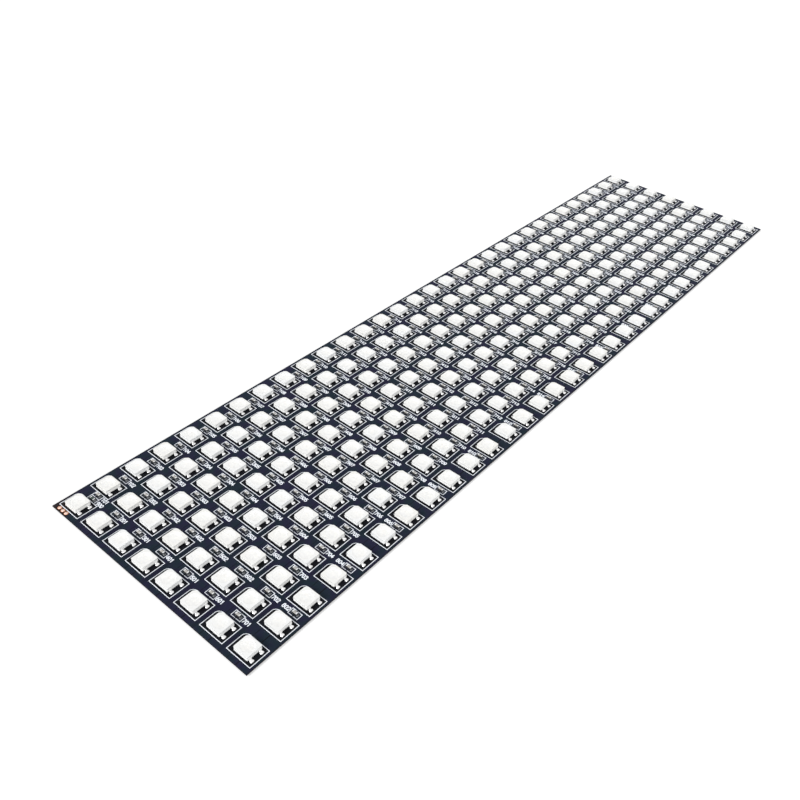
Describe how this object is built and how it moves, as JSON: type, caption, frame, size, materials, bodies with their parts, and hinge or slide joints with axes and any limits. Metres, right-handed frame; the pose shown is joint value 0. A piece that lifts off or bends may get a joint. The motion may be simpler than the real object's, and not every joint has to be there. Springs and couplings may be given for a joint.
{
  "type": "rgb led matrix panel",
  "caption": "Flexible circuit board with a close grid of square white surface-mounted colour LEDs, each with a small chip capacitor beside it.",
  "frame": {"origin": "centre of the board's flat rear face", "axes": "+X along the long side, away from the end with the three round pads; +Y across the board, towards the long edge beside those pads; +Z out of the LED side"},
  "size_m": [0.32, 0.08, 0.0019],
  "materials": {
    "board": "satin dark cover film over copper traces",
    "led_housing": "satin white moulded housing with a clear resin window",
    "print_ink": "matt white screen print",
    "capacitor": "matt ceramic body with tinned ends",
    "resistor": "black coated top with tinned ends",
    "edge_pad": "bare copper, partly tinned",
    "solder_pad": "tinned copper"
  },
  "bodies": {
    "root": {"flex_board": "board", "led_column_01": "led_housing", "led_column_02": "led_housing", "led_column_03": "led_housing", "led_column_04": "led_housing", "led_column_05": "led_housing", "led_column_06": "led_housing", "led_column_07": "led_housing", "led_column_08": "led_housing", "led_column_09": "led_housing", "led_column_10": "led_housing", "led_column_11": "led_housing", "led_column_12": "led_housing", "led_column_13": "led_housing", "led_column_14": "led_housing", "led_column_15": "led_housing", "led_column_16": "led_housing", "led_column_17": "led_housing", "led_column_18": "led_housing", "led_column_19": "led_housing", "led_column_20": "led_housing", "led_column_21": "led_housing", "led_column_22": "led_housing", "led_column_23": "led_housing", "led_column_24": "led_housing", "led_column_25": "led_housing", "led_column_26": "led_housing", "led_column_27": "led_housing", "led_column_28": "led_housing", "led_column_29": "led_housing", "led_column_30": "led_housing", "led_column_31": "led_housing", "led_column_32": "led_housing", "printed_outlines": "print_ink", "capacitor_row_1": "capacitor", "capacitor_row_2": "capacitor", "capacitor_row_3": "capacitor", "capacitor_row_4": "capacitor", "capacitor_row_5": "capacitor", "capacitor_row_6": "capacitor", "capacitor_row_7": "capacitor", "capacitor_row_8": "capacitor", "data_resistor": "resistor", "edge_pads": "edge_pad", "input_solder_pads": "solder_pad", "power_solder_pads": "solder_pad", "output_solder_pads": "solder_pad"}
  },
  "joints": []
}
